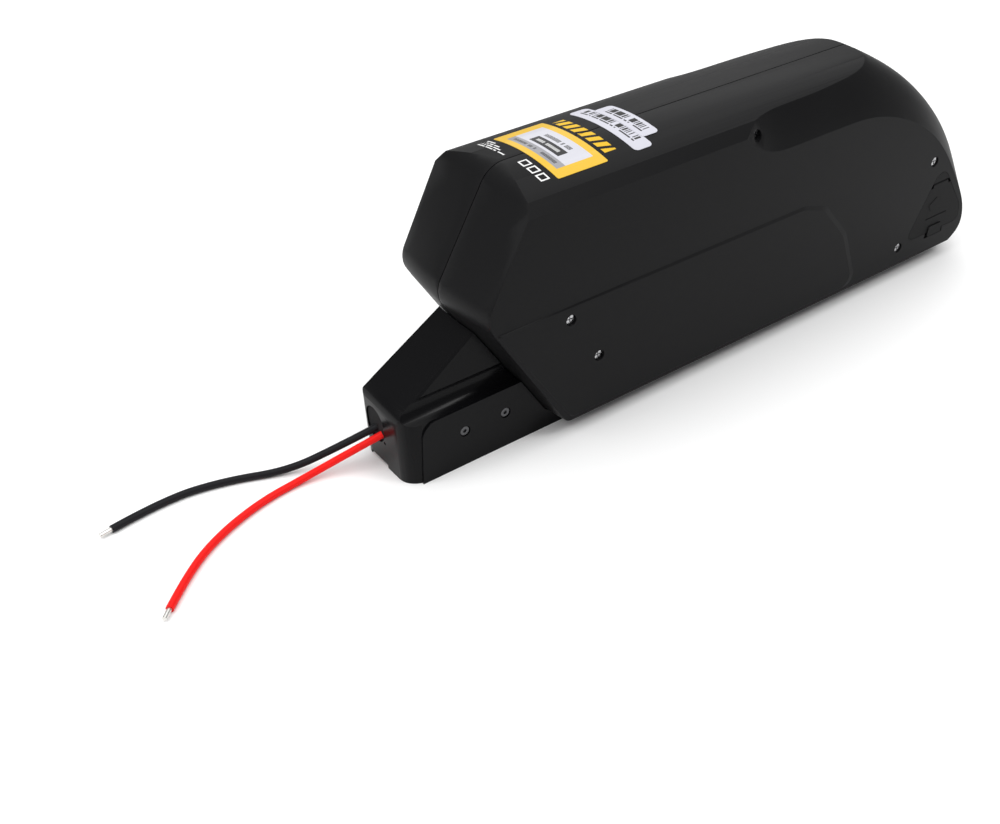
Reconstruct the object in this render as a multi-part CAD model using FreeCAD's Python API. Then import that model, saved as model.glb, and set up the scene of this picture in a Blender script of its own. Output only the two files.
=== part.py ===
"""Down-tube battery pack on its slide-on base, drawn as separate named subparts.

Frame: millimetres, +X from the cable end of the base towards the pack's free end,
+Z up from the underside of the base, Y = 0 is the seam plane between the two half shells.
Run from its own folder; every node is written to parts/NODE.step.
"""
import FreeCAD
import Part
import math
import os

V = FreeCAD.Vector

# ---- driving dimensions (mm) -------------------------------------------------------------
PACK_L = 418.0          # side plane, nose to free end
PACK_W = 90.0           # over both side planes
PACK_H = 156.5          # pack underside to the ridge of its top
BASE_H = 12.0           # base underside to pack underside
BASE_W = 56.0           # base plate and terminal box
BOX_REACH = 47.0        # terminal box beyond the pack's nose
BOX_H = 41.3            # terminal box shoulder above the floor
HOOD_HALF = 17.0        # half width of the cable hood's top
WALL = 2.8              # shell wall
BOX_WALL = 2.6          # terminal box wall
TOP_R = 136.0           # crown radius across the top
CELL_R = 9.1            # round cell with its sleeve
CELL_L = 65.0
CELL_PITCH = 19.5
ROWS = 5                # cells in one parallel group
PER_ROW = 13            # groups in series
BOLT_PITCH = 64.0       # bottle-cage bosses on a frame tube
BOLT_R = 2.75
SLOT_L = 12.0
LEAD_D = 4.5
SCREW_R = 1.5
GAP = 0.3               # clearance between parts of different bodies
COMB = CELL_R + 1.9     # cell axis to the edge of the combs that hold the cells

SX = PACK_L / 418.0
SZ = PACK_H / 156.5
SY = PACK_W / 90.0
HW = PACK_W / 2.0
BW = BASE_W / 2.0
NOSE_X = -189.5 * SX    # nose corner of the side plane, so base and pack together centre on X = 0
OUT = "parts"


def px(x):
    """Station along the pack, counted from its nose corner at the unscaled length."""
    return NOSE_X + x * SX


def pz(z):
    """Height above the pack's underside at the unscaled height."""
    return BASE_H + z * SZ


# ---- small helpers -----------------------------------------------------------------------
def block(x0, x1, y0, y1, z0, z1):
    """Box between two corners."""
    return Part.makeBox(x1 - x0, y1 - y0, z1 - z0, V(x0, y0, z0))


def rod(r, length, base, axis):
    """Cylinder from base along axis."""
    return Part.makeCylinder(r, length, V(*base), V(*axis))


def rod_y(r, x, z, y0, y1):
    """Cylinder along Y between y0 and y1."""
    return rod(r, y1 - y0, (x, y0, z), (0, 1, 0))


def rod_z(r, x, y, z0, z1):
    """Cylinder along Z between z0 and z1."""
    return rod(r, z1 - z0, (x, y, z0), (0, 0, 1))


def fuse(shapes):
    """One shape from several that touch or overlap."""
    out = shapes[0]
    if len(shapes) > 1:
        out = shapes[0].fuse(shapes[1:])
    return out.removeSplitter()


def bundle(shapes):
    """Separate solids kept as one node."""
    return Part.makeCompound(shapes)


def write(name, shape):
    """Saves one node."""
    shape.exportStep(os.path.join(OUT, name + ".step"))
    print(name, "solids", len(shape.Solids), "valid", shape.isValid(), "volume", round(shape.Volume, 1))


def inset(points, d):
    """Moves each side of a convex clockwise outline inwards by d; points are (a, b, radius)."""
    n = len(points)
    out = []
    for i in range(n):
        a = points[i - 1]
        b = points[i]
        c = points[(i + 1) % n]
        u = (b[0] - a[0], b[1] - a[1])
        v = (c[0] - b[0], c[1] - b[1])
        lu = math.hypot(*u)
        lv = math.hypot(*v)
        nu = (u[1] / lu, -u[0] / lu)
        nv = (v[1] / lv, -v[0] / lv)
        k = d / (1.0 + nu[0] * nv[0] + nu[1] * nv[1])
        out.append((b[0] + k * (nu[0] + nv[0]), b[1] + k * (nu[1] + nv[1]), max(b[2] - d, 0.0)))
    return out


def outline(points, place):
    """Closed wire through (a, b, radius) corners; place turns (a, b) into a vector."""
    n = len(points)
    ends = []
    for i in range(n):
        a = points[i - 1]
        b = points[i]
        c = points[(i + 1) % n]
        u = V(a[0] - b[0], a[1] - b[1], 0)
        v = V(c[0] - b[0], c[1] - b[1], 0)
        u.normalize()
        v.normalize()
        if b[2] <= 0:
            ends.append((place(b[0], b[1]), None, place(b[0], b[1])))
            continue
        half = u.getAngle(v) / 2.0
        t = b[2] / math.tan(half)
        mid = (u + v).normalize() * (b[2] / math.sin(half) - b[2])
        p = (b[0] + u.x * t, b[1] + u.y * t)
        q = (b[0] + v.x * t, b[1] + v.y * t)
        ends.append((place(*p), place(b[0] + mid.x, b[1] + mid.y), place(*q)))
    edges = []
    for i in range(n):
        p, m, q = ends[i]
        if m is not None:
            edges.append(Part.Arc(p, m, q).toShape())
        nxt = ends[(i + 1) % n][0]
        if q.distanceToPoint(nxt) > 1e-6:
            edges.append(Part.LineSegment(q, nxt).toShape())
    return Part.Wire(edges)


def prism_xz(points, y0, y1):
    """Outline in X and Z drawn out along Y."""
    wire = outline(points, lambda a, b: V(a, y0, b))
    return Part.Face(wire).extrude(V(0, y1 - y0, 0))


def prism_xy(points, z0, z1):
    """Outline in X and Y drawn out along Z."""
    wire = outline(points, lambda a, b: V(a, b, z0))
    return Part.Face(wire).extrude(V(0, 0, z1 - z0))


def prism_yz(points, x0, x1):
    """Outline in Y and Z drawn out along X."""
    wire = outline(points, lambda a, b: V(x0, a, b))
    return Part.Face(wire).extrude(V(x1 - x0, 0, 0))


def plain(points):
    """Adds a zero radius to plain corners."""
    return [(a, b, 0.0) for a, b in points]


def cord(points, d):
    """Round lead: straight runs joined by tangent arcs."""
    pts = [V(*p) for p in points]
    edges = []
    here = pts[0]
    for i in range(1, len(pts) - 1):
        u = (pts[i] - pts[i - 1]).normalize()
        v = (pts[i + 1] - pts[i]).normalize()
        turn = u.getAngle(v)
        short = min((pts[i] - pts[i - 1]).Length, (pts[i + 1] - pts[i]).Length)
        t = 0.45 * short
        r = t / math.tan(turn / 2.0)
        p = pts[i] - u * t
        q = pts[i] + v * t
        inward = (v - u).normalize()
        m = pts[i] + inward * (r / math.cos(turn / 2.0) - r)
        edges.append(Part.LineSegment(here, p).toShape())
        edges.append(Part.Arc(p, m, q).toShape())
        here = q
        print("  bend", i, "radius", round(r, 1), "turn", round(math.degrees(turn), 1))
    edges.append(Part.LineSegment(here, pts[-1]).toShape())
    path = Part.Wire(edges)
    start = pts[1] - pts[0]
    ring = Part.Wire([Part.Circle(pts[0], start, d / 2.0).toShape()])
    return path.makePipeShell([ring], True, False), path.Length


# ---- pack: outside form ------------------------------------------------------------------
# Rounded tail: (side plane x, z) and (seam plane x, z) stations, unscaled, top to bottom.
TAIL = [
    ((184, 148), (184, 192)),
    ((190, 142), (190, 188)),
    ((200, 134.5), (200, 182)),
    ((212, 129), (212, 177)),
    ((226, 127.5), (226, 175)),
    ((250, 127.5), (250, 174)),
    ((275, 127.5), (275, 169.5)),
    ((292, 127), (292, 166)),
    ((308, 124.5), (308, 160.5)),
    ((327, 118.5), (329, 150)),
    ((350, 107), (353, 135.5)),
    ((376, 86.5), (386, 108)),
    ((396.5, 61), (411, 75)),
    ((410, 40), (421, 46)),
    ((418, 20), (425.5, 22)),
    ((417, 9), (424, 9)),
    ((410, 2), (417, 2)),
    ((400, -3), (407, -3)),
]


# Front corners: (side plane x, z), (seam plane x, z), rounding; the rest is straight.
FRONT = [
    ((53.2, 0.0), (49.5, 0.0), 6.0),
    ((0.5, 90.3), (-4.0, 90.4), 16.0),
    ((37.7, 156.5), (37.0, 156.5), 18.0),
    ((440.0, 156.5), (440.0, 156.5), 0.0),
    ((440.0, 0.0), (440.0, 0.0), 0.0),
]


def front_solid(d):
    """Long body with its crowned nose, moved inwards by d; the tail is cut from it later."""
    wires = []
    for k in (-1.0, -0.6, -0.3, 0.0, 0.3, 0.6, 1.0):
        y = k * (HW - d)
        w = 1.0 - (y / HW) ** 2
        pts = []
        for side, mid, r in FRONT:
            pts.append((px(side[0] + (mid[0] - side[0]) * w), pz(side[1] + (mid[1] - side[1]) * w), r))
        wires.append(outline(inset(pts, d), lambda u, v: V(u, y, v)))
    return Part.makeLoft(wires, True, False)


def tail_cutter(d):
    """Everything above and behind the tail surface, which is moved inwards by d."""
    half = HW - d
    wires = []
    for k in (-1.12, -1.0, -0.9, -0.75, -0.5, -0.25, 0.0, 0.25, 0.5, 0.75, 0.9, 1.0, 1.12):
        y = k * half
        w = 1.0 - abs(k) ** 3
        raw = []
        for side, mid in TAIL:
            raw.append((px(side[0] + (mid[0] - side[0]) * w), pz(side[1] + (mid[1] - side[1]) * w)))
        pts = []
        for i, p in enumerate(raw):
            a = raw[max(i - 1, 0)]
            b = raw[min(i + 1, len(raw) - 1)]
            tx = b[0] - a[0]
            tz = b[1] - a[1]
            ln = math.hypot(tx, tz)
            pts.append(V(p[0] + d * tz / ln, y, p[1] - d * tx / ln))
        curve = Part.BSplineCurve()
        curve.interpolate(pts)
        first = pts[0]
        last = pts[-1]
        far_x = px(480)
        far_z = pz(215)
        loop = [last, V(far_x, y, last.z), V(far_x, y, far_z), V(first.x, y, far_z), first]
        edges = [curve.toShape()]
        for p, q in zip(loop[:-1], loop[1:]):
            edges.append(Part.LineSegment(p, q).toShape())
        wires.append(Part.Wire(edges))
    return Part.makeLoft(wires, True, False)


def pack_form(d):
    """Solid outside form of the pack, moved inwards by d."""
    body = front_solid(d)
    crown = rod(TOP_R - d, PACK_L * 1.5, (px(-60), 0, pz(156.5) - TOP_R), (1, 0, 0))
    body = body.common(fuse([crown, block(px(-60), px(500), -80, 80, pz(-10), pz(70))]))
    ny = -0.775
    nz = 0.631
    for s in (1, -1):
        y0 = -39.3 * SY - ny * d
        z0 = pz(150.8) - nz * d
        quad = [(y0 + nz * 40, z0 - ny * 40), (y0 - nz * 40, z0 + ny * 40)]
        quad.append((quad[1][0] + ny * 40, quad[1][1] + nz * 40))
        quad.append((quad[0][0] + ny * 40, quad[0][1] + nz * 40))
        cut = prism_yz(plain([(s * a, b) for a, b in quad]), px(-40), px(460))
        body = body.cut(cut)
    return body.cut(tail_cutter(d))


def half_space(side):
    """Everything on one side of the seam plane."""
    if side < 0:
        return block(px(-80), px(500), -90, 0, -10, 300)
    return block(px(-80), px(500), 0, 90, -10, 300)


SCREWS = [(57.5, 71.5), (77.8, 38.6), (199.0, 142.0), (373.9, 72.9), (348.8, 14.0)]
# Rubber cover over the charge socket: outline on the side plane, clockwise.
COVER = [(355.5, 15.6, 4.5), (384.8, 68.8, 8.0), (412.5, 28.5, 10.0), (413.5, 15.2, 5.0)]
PORT = (389.0, 33.0)
HINGE_Z = 53.0
COVER_T = 2.2
SINK = 3.4              # depth of the shell screw recesses


def scaled(points):
    """Outline stations to millimetres in the frame."""
    return [(px(a), pz(b), r) for a, b, r in points]


def screw_y(i):
    """Depth of the outer face at each shell screw."""
    if i == 2:
        return -HW + 4.6
    return -HW


LIP_X = (70.0, 156.0, 246.0, 336.0)
LIP_L = 38.0            # each rail lip; the gaps between them let the pack lift off once slid
TROUGH_END = 397.0


def channel_walls():
    """Trough under the pack for the base's rails: its walls, then the three spaces cut from them."""
    x0 = px(30)
    x1 = px(TROUGH_END)
    walls = block(x0, x1 + 3, -27, 27, BASE_H, BASE_H + 9)
    for a in (90, 170, 250, 330):
        walls = walls.fuse(block(px(a), px(a) + 4, -27, 27, BASE_H + 8, BASE_H + CELL_Z - COMB))
    inner = block(x0 - 20, x1, -24.6, 24.6, BASE_H + 2.6, BASE_H + 6.6)
    mouth = [block(x0 - 20, x1, -20.4, 20.4, BASE_H - 2, BASE_H + 4)]
    start = x0 - 20
    for a in LIP_X:
        mouth.append(block(start, px(a) - 1.0, -24.6, 24.6, BASE_H - 2, BASE_H + 4))
        start = px(a) + LIP_L + 2.0
    return walls, inner, fuse(mouth)


def build_shells():
    """Left and right half shells with screw posts, rail trough, socket openings and a seam groove."""
    outer = pack_form(0.0)
    inner = pack_form(WALL)
    skin = pack_form(0.8)
    walls, chan, mouth = channel_walls()
    shell = outer.cut(inner)
    shell = shell.fuse(walls.common(outer)).cut(chan).cut(mouth)
    groove = outer.common(block(px(-80), px(500), -0.3, 0.3, -10, 300)).cut(skin)
    shell = shell.cut(groove)
    # opening for the base's plug through the slanted front wall
    shell = shell.cut(block(px(20), px(53.5), -13.2, 13.2, pz(0) + 13.7, pz(0) + 28.3))
    left = shell.common(half_space(-1))
    right = shell.common(half_space(1))
    # raised lower panel on the seen side and its mirror
    panel = scaled([(56, 2, 4), (5.9, 81.0, 1), (110, 82.5, 8), (246, 83, 10), (268, 76, 14), (292, 48, 20), (309, 2, 8)])
    small = scaled([(57, 3, 4), (8.0, 80.6, 1), (110, 79.5, 8), (244, 79, 10), (263, 73, 14), (286, 46, 20), (302, 3, 8)])
    for s in (-1, 1):
        a = outline(panel, lambda u, w: V(u, s * (HW - 0.4), w))
        b = outline(small, lambda u, w: V(u, s * (HW + 0.6), w))
        pad = Part.makeLoft([a, b], True, True)
        if s < 0:
            left = left.fuse(pad)
        else:
            right = right.fuse(pad)
    for i, (a, b) in enumerate(SCREWS):
        x = px(a)
        z = pz(b)
        y = screw_y(i)
        post = rod_y(4.6, x, z, y + 1.0, 0.0).common(outer)
        left = left.fuse(post)
        left = left.cut(rod_y(3.6, x, z, -HW - 2, y + SINK))
        left = left.cut(rod_y(SCREW_R + 0.25, x, z, -HW, 1))
        boss = rod_y(4.6, x, z, 0.0, HW - 1.0).common(outer)
        right = right.fuse(boss).cut(rod_y(SCREW_R + 0.05, x, z, -1, 16.0))
    left = cut_port(left)
    right = cut_controls(right)
    return left.removeSplitter(), right.removeSplitter()


def cut_port(left):
    """Pocket, backing and socket hole of the charge port."""
    floor = -HW + COVER_T + 0.2
    backing = prism_xz(scaled([(352, 12.5, 4), (384.8, 75, 8), (416, 31, 6), (416.5, 12, 3)]), floor, floor + 2.4)
    left = left.fuse(backing.common(pack_form(0.5)))
    left = left.cut(prism_xz(scaled(COVER), -HW - 3, floor))
    x = px(PORT[0])
    z = pz(PORT[1])
    left = left.cut(rod_y(7.0, x, z, -HW, floor + 6))
    notch = prism_xz(scaled([(377, 11.4, 1), (377.6, 16.5, 0.5), (396, 16.5, 0.5), (396.6, 11.4, 1)]), -HW - 3, -HW + 1.2)
    return left.cut(notch)


LOCK = (368.0, 25.0)
ROCKER = (367.0, 57.0)
GAUGE = (240.0, 112.0)


def cut_controls(right):
    """Holes for lock, switch and charge gauge in the far side wall."""
    right = right.cut(rod_y(10.2, px(LOCK[0]), pz(LOCK[1]), HW - 8, HW + 3))
    x = px(ROCKER[0])
    z = pz(ROCKER[1])
    right = right.cut(block(x - 6.8, x + 6.8, HW - 6, HW + 3, z - 9.8, z + 9.8))
    x = px(GAUGE[0])
    z = pz(GAUGE[1])
    right = right.cut(block(x - 18.2, x + 18.2, HW - 1.2, HW + 3, z - 6.2, z + 6.2))
    right = right.cut(block(x - 15.0, x + 15.0, HW - 6, HW + 3, z - 4.0, z + 4.0))
    # bolt of the lock passes down through the trough roof
    return right.cut(rod_z(4.6, px(LOCK[0]), LOCK_Y, BASE_H - 1, BASE_H + 12))


LOCK_Y = 13.0


def shell_screws():
    """Five pan-head screws that hold the shells together."""
    out = []
    for i, (a, b) in enumerate(SCREWS):
        x = px(a)
        z = pz(b)
        y = screw_y(i) + SINK
        head = rod_y(3.1, x, z, y - 2.2, y)
        for turn in (0, 1):
            if turn:
                slot = block(x - 1.9, x + 1.9, y - 3, y - 1.1, z - 0.4, z + 0.4)
            else:
                slot = block(x - 0.4, x + 0.4, y - 3, y - 1.1, z - 1.9, z + 1.9)
            head = head.cut(slot)
        out.append(head.fuse(rod_y(SCREW_R, x, z, y, 14.0)).removeSplitter())
    return bundle(out)


def shell_seal():
    """Cord seal lying in the seam, just inside the wall."""
    a = pack_form(WALL + 0.1)
    b = pack_form(WALL + 1.7)
    ring = a.cut(b).common(block(px(-80), px(500), -0.8, 0.8, BASE_H + 16, 300))
    # the cord stops above the socket block
    return ring.cut(block(px(-10), px(75), -2, 2, 0, pz(34)))


# ---- pack: inside ------------------------------------------------------------------------
CELL_X = 98.0
CELL_Z = 22.5


def cell_centres():
    """Rows of cell axes in a honeycomb."""
    rows = []
    for r in range(ROWS):
        z = BASE_H + CELL_Z + r * CELL_PITCH * math.sqrt(3) / 2.0
        off = 0.5 * CELL_PITCH * (r % 2)
        rows.append([(px(CELL_X) + off + c * CELL_PITCH, z) for c in range(PER_ROW)])
    return rows


def cell_group(column, side):
    """Cells of one parallel group, all with their raised cap on one side."""
    half = CELL_L / 2.0
    out = []
    for x, z in column:
        can = rod_y(CELL_R, x, z, -half, half - 1.0)
        cap = rod_y(4.0, x, z, half - 1.0, half)
        out.append(can.fuse(cap).removeSplitter())
    group = bundle(out)
    if side < 0:
        group = group.mirror(V(0, 0, 0), V(0, 1, 0))
    return group


def cell_holder(side, rows):
    """Plastic comb that holds one end of every cell, relieved around the screw posts."""
    y0 = CELL_L / 2.0 - 10.0
    y1 = CELL_L / 2.0 - 0.2
    xs = [x for row in rows for x, z in row]
    zs = [z for row in rows for x, z in row]
    plate = block(min(xs) - COMB, max(xs) + COMB, y0, y1, min(zs) - COMB, max(zs) + COMB)
    holes = [rod_y(CELL_R + 0.25, x, z, y0 - 1, y1 + 1) for row in rows for x, z in row]
    for a, b in SCREWS:
        holes.append(rod_y(6.0, px(a), pz(b), y0 - 1, y1 + 1))
    plate = plate.cut(bundle(holes))
    if side < 0:
        plate = plate.mirror(V(0, 0, 0), V(0, 1, 0))
    return plate


def nickel(side, rows):
    """Welded plates: each joins one group to the next, and the end groups keep their own."""
    y = side * CELL_L / 2.0
    y0 = min(y, y + side * 0.3)
    first = 0 if side > 0 else -1
    out = []
    for c in range(first, PER_ROW, 2):
        a = max(c, 0)
        b = min(c + 1, PER_ROW - 1)
        plate = []
        for row in rows:
            z = row[a][1]
            plate.append(block(row[a][0] - 5, row[b][0] + 5, y0, y0 + 0.3, z - 5, z + 5))
        for low, high in zip(rows[:-1], rows[1:]):
            x = (low[a][0] + high[a][0]) / 2.0
            plate.append(block(x - 4, x + 4, y0, y0 + 0.3, low[a][1] + 4, high[a][1] - 4))
        out.append(fuse(plate))
    return bundle(out)


def top_of_cells(rows):
    """Height of the uppermost cell plus its comb."""
    return rows[-1][0][1] + COMB


def electronics(rows):
    """Insulating sheet, protection board, its power parts, fuse and copper bars."""
    z = top_of_cells(rows)
    x0 = px(105)
    parts = {}
    parts["insulating_sheet"] = block(x0 - 8, x0 + 180, -30, 30, z, z + 0.8)
    b = z + 0.8
    parts["bms_board"] = fuse([
        block(x0, x0 + 120, -26, 26, b + 3.0, b + 4.6),
        rod_z(2.5, x0 + 6, -21, b, b + 3.0),
        rod_z(2.5, x0 + 6, 21, b, b + 3.0),
        rod_z(2.5, x0 + 114, -21, b, b + 3.0),
        rod_z(2.5, x0 + 114, 21, b, b + 3.0),
    ])
    top = b + 4.6
    chips = [block(x0 + 14 + 11 * i, x0 + 23 + 11 * i, 8, 17, top, top + 2.4) for i in range(8)]
    chips.append(block(x0 + 40, x0 + 52, -12, 0, top, top + 1.6))
    parts["bms_transistors"] = bundle(chips)
    fins = [block(x0 + 12, x0 + 102, 8.2, 17, top + 2.4, top + 4.4)]
    for i in range(4):
        fins.append(block(x0 + 12, x0 + 102, 8.2 + 2.4 * i, 9.4 + 2.4 * i, top + 4.4, top + 10.4))
    parts["heat_sink"] = fuse(fins)
    row = [block(x0 + 59.5 + 3 * i, x0 + 61.3 + 3 * i, -24, -17, top, top + 6.5) for i in range(PER_ROW + 1)]
    parts["balance_connector"] = fuse([block(x0 + 58, x0 + 102, -25, -16, top, top + 2.5)] + row)
    f = x0 + 140
    holder = fuse([block(f, f + 30, -9, 9, b, b + 3), block(f + 2, f + 5, -7, 7, b, b + 14),
                   block(f + 25, f + 28, -7, 7, b, b + 14)])
    parts["fuse_holder"] = holder
    parts["fuse_link"] = rod(3.2, 20.0, (f + 5.0, 0, b + 9), (1, 0, 0))
    bars = []
    xb = px(66.5)
    for y in (-9.0, 9.0):
        foot = block(px(46.5) + 14.8, xb + 1.2, y - 3, y + 3, BASE_H + 20, BASE_H + 21.2)
        drop = block(xb, xb + 1.2, y - 3, y + 3, BASE_H + 20, top + 1.2)
        run = block(xb, x0 + 8, y - 3, y + 3, top, top + 1.2)
        bars.append(fuse([foot, drop, run]))
    parts["copper_bars"] = bundle(bars)
    return parts


def pack_connector():
    """Socket block behind the slanted front wall and its five spring contacts."""
    z0 = BASE_H + 14.0
    x0 = px(46.5)
    body = block(x0, x0 + 14, -17, 17, z0 - 2, z0 + 16)
    contacts = []
    for i, y in enumerate((-9.0, -4.5, 0.0, 4.5, 9.0)):
        body = body.cut(block(x0 - 1, x0 + 9.5, y - 0.9, y + 0.9, z0 + 3.0, z0 + 11.0))
        contacts.append(block(x0 + 9.6, x0 + 14.8, y - 0.6, y + 0.6, z0 + 4.0, z0 + 10.0))
        body = body.cut(block(x0 + 9.4, x0 + 15, y - 0.6, y + 0.6, z0 + 4.0, z0 + 10.0))
    return body, bundle(contacts)


def charge_port():
    """Round charging socket and its pin, which stands back from the mouth."""
    x = px(PORT[0])
    z = pz(PORT[1])
    y0 = -HW + COVER_T + 0.4
    body = rod_y(6.8, x, z, y0, y0 + 20).fuse(rod_y(9.5, x, z, y0 + 2.2, y0 + 5.0))
    body = body.cut(rod_y(4.2, x, z, y0 - 1, y0 + 13))
    pin = rod_y(1.1, x, z, y0 + 6.0, y0 + 13.0)
    return body.removeSplitter(), pin


def charge_cover():
    """Rubber flap, hinged at its narrow upper end, and the tab that stays in the pocket."""
    inner = inset(scaled(COVER), 0.25)
    sheet = prism_xz(inner, -HW, -HW + COVER_T)
    z = pz(HINGE_Z)
    y = -HW + COVER_T / 2.0
    flap = sheet.common(block(px(340), px(430), -HW - 5, 0, 0, z))
    width = sheet.common(block(px(340), px(430), -HW - 5, 0, z, z + 0.1)).BoundBox
    # corners beside the knuckle are cut back so they clear the pocket when it opens
    flap = flap.cut(block(px(340), width.XMin + 1.6, -HW - 5, 0, z - 1.8, z + 1))
    flap = flap.cut(block(width.XMax - 1.6, px(430), -HW - 5, 0, z - 1.8, z + 1))
    knuckle = rod(COVER_T / 2.0, width.XLength - 3.6, (width.XMin + 1.8, y, z), (1, 0, 0))
    tab = sheet.common(block(px(340), px(430), -HW - 5, 0, z + 1.7, 200))
    grip = prism_xz(scaled([(379, 12.5, 1), (380, 20.3, 1.5), (393.5, 20.3, 1.5), (394.5, 12.5, 1)]),
                    -HW - 0.8, -HW + 1)
    plug = rod_y(3.6, px(PORT[0]), pz(PORT[1]), -HW + COVER_T, -HW + COVER_T + 1.2)
    mark = prism_xz(scaled([(376, 38, 1), (384, 43, 2), (392, 38, 1), (389, 33, 1), (379, 33, 1)]), -HW - 0.25, -HW)
    flap = fuse([flap, knuckle, grip, plug, mark])
    return flap.cut(block(px(374.8), px(397.6), -HW - 0.2, -HW + 0.5, pz(27), pz(27) + 0.7)), tab


def lock_parts():
    """Cylinder lock on the far side: housing, turning barrel with crank pin, and the bolt it drives."""
    x = px(LOCK[0])
    z = pz(LOCK[1])
    crank = 5.0 * math.sqrt(0.5)
    housing = rod_y(10.0, x, z, HW - 22, HW + 0.6)
    guide = block(x - 9.5, x + 9.5, LOCK_Y - 7, HW - 20, BASE_H + 9.0, z + 10)
    housing = housing.fuse(guide)
    housing = housing.cut(rod_y(7.56, x, z, LOCK_Y + 0.2, HW + 2))
    housing = housing.cut(rod_z(4.06, x, LOCK_Y, BASE_H + 2, z + 20))
    barrel = rod_y(7.5, x, z, LOCK_Y + 5.0, HW + 1.0)
    barrel = barrel.cut(block(x - 0.7, x + 0.7, HW - 8, HW + 2, z - 3.6, z + 3.6))
    barrel = barrel.cut(rod_y(1.3, x, z, HW - 8, HW + 2))
    barrel = barrel.fuse(rod_y(1.0, x + crank, z + crank, LOCK_Y + 1.0, LOCK_Y + 5.5))
    bolt = rod_z(4.0, x, LOCK_Y, BASE_H + 1.5, z + crank + 4.0)
    slot = block(x - 5, x + 5, LOCK_Y + 0.4, LOCK_Y + 6, z + crank - 1.25, z + crank + 1.25)
    return housing.removeSplitter(), barrel.removeSplitter(), bolt.cut(slot)


def rocker_parts():
    """Power switch: bezel frame and rocker."""
    x = px(ROCKER[0])
    z = pz(ROCKER[1])
    bezel = block(x - 7.8, x + 7.8, HW, HW + 1.6, z - 10.8, z + 10.8)
    bezel = bezel.fuse(block(x - 6.5, x + 6.5, HW - 10, HW, z - 9.5, z + 9.5))
    bezel = bezel.cut(block(x - 5.0, x + 5.0, HW - 7, HW + 3, z - 8.6, z + 8.6))
    y = HW - 3.0
    bezel = bezel.cut(rod(1.05, 12.0, (x - 6.0, y, z), (1, 0, 0)))
    wedge = plain([(y - 2.5, z - 6.6), (y + 3.6, z - 7.6), (y + 4.2, z), (y + 5.5, z + 6.8), (y - 1.2, z + 6.6)])
    rocker = prism_yz(wedge, x - 4.7, x + 4.7).fuse(rod(1.0, 11.6, (x - 5.8, y, z), (1, 0, 0)))
    return bezel.removeSplitter(), rocker


def gauge_parts():
    """Charge gauge: light board, clear window and push button."""
    x = px(GAUGE[0])
    z = pz(GAUGE[1])
    back = HW - WALL
    leds = [block(x - 12.5 + 5.0 * i, x - 10.5 + 5.0 * i, back, HW - 1.3, z - 1, z + 1) for i in range(4)]
    board = fuse([block(x - 16, x + 16, back - 1.6, back, z - 5, z + 5)] + leds)
    window = block(x - 18, x + 18, HW - 1.0, HW + 0.2, z - 6, z + 6)
    window = window.cut(rod_y(3.1, x + 11, z, HW - 4, HW + 2))
    button = rod_y(3.0, x + 11, z, HW - 1.9, HW + 1.0)
    return board, window, button


def deck_label(x0, x1, y0, y1, lift, r):
    """Thin sheet bent over the crowned top, with rounded corners of radius r."""
    axis = (px(-60), 0, pz(156.5) - TOP_R)
    ring = rod(TOP_R + lift + 0.16, 700, axis, (1, 0, 0)).cut(rod(TOP_R + lift, 700, axis, (1, 0, 0)))
    corners = [(px(x0), y0 * SY, r), (px(x0), y1 * SY, r), (px(x1), y1 * SY, r), (px(x1), y0 * SY, r)]
    return ring.common(prism_xy(corners, pz(120), pz(200)))


# ---- base --------------------------------------------------------------------------------
BODY_HALF = BW - 1.2    # terminal box between its proud side plates
REAR = 64.0             # station where the terminal box ends, below the pack
RAMP = 0.649            # rise of the hood's top along X
RAMP_Z = 64.0           # its height above the pack's underside at the nose corner
COVE_R = 9.0            # hollow between the box's shoulder and its hood
FLOOR_HALF = BODY_HALF - BOX_WALL - GAP


def base_plate():
    """Floor plate with two lipped rails, outer rests, bolt slots and the box's screw ears."""
    x0 = px(0) - BOX_REACH + BOX_WALL + 0.6
    x1 = px(392)
    floor = prism_xy([(x0, -FLOOR_HALF, 9.5), (x0, FLOOR_HALF, 9.5), (px(REAR + 2), FLOOR_HALF, 0),
                      (px(REAR + 2), -FLOOR_HALF, 0)], 0.0, 3.2)
    tail = prism_xy([(px(REAR) + GAP, -BW, 0), (px(REAR) + GAP, BW, 0), (x1, BW, 10), (x1, -BW, 10)], 0.0, 3.5)
    plate = floor.fuse(tail)
    start = px(REAR + 2)
    for s in (-1, 1):
        rail = [block(start, x1 - 4, min(s * 17, s * 20), max(s * 17, s * 20), 3.0, BASE_H + 6.0)]
        rail.append(block(start + 2, x1 - 6, min(s * 25, s * BW), max(s * 25, s * BW), 3.0, BASE_H - GAP))
        for a in LIP_X:
            lo = min(s * 19, s * 24)
            rail.append(block(px(a), px(a) + LIP_L, lo, lo + 5, BASE_H + 3.0, BASE_H + 6.0))
        plate = plate.fuse(rail)
    plate = plate.fuse(box_ears())
    for x in slot_centres():
        slot = block(x - SLOT_L / 2.0 + BOLT_R, x + SLOT_L / 2.0 - BOLT_R, -BOLT_R, BOLT_R, -1, 5)
        ends = [rod_z(BOLT_R, x + k * (SLOT_L / 2.0 - BOLT_R), 0, -1, 5) for k in (-1, 1)]
        plate = plate.cut(slot.fuse(ends))
    return plate.removeSplitter()


def slot_centres():
    """Two pairs of bolt slots on the centre line, each at bottle-cage spacing."""
    out = []
    for mid in (px(140), px(270)):
        out.append(mid - BOLT_PITCH / 2.0)
        out.append(mid + BOLT_PITCH / 2.0)
    return out


def ramp_z(x):
    """Height of the hood's sloping top at x."""
    return pz(RAMP_Z + RAMP * (x - NOSE_X) / SX)


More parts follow.
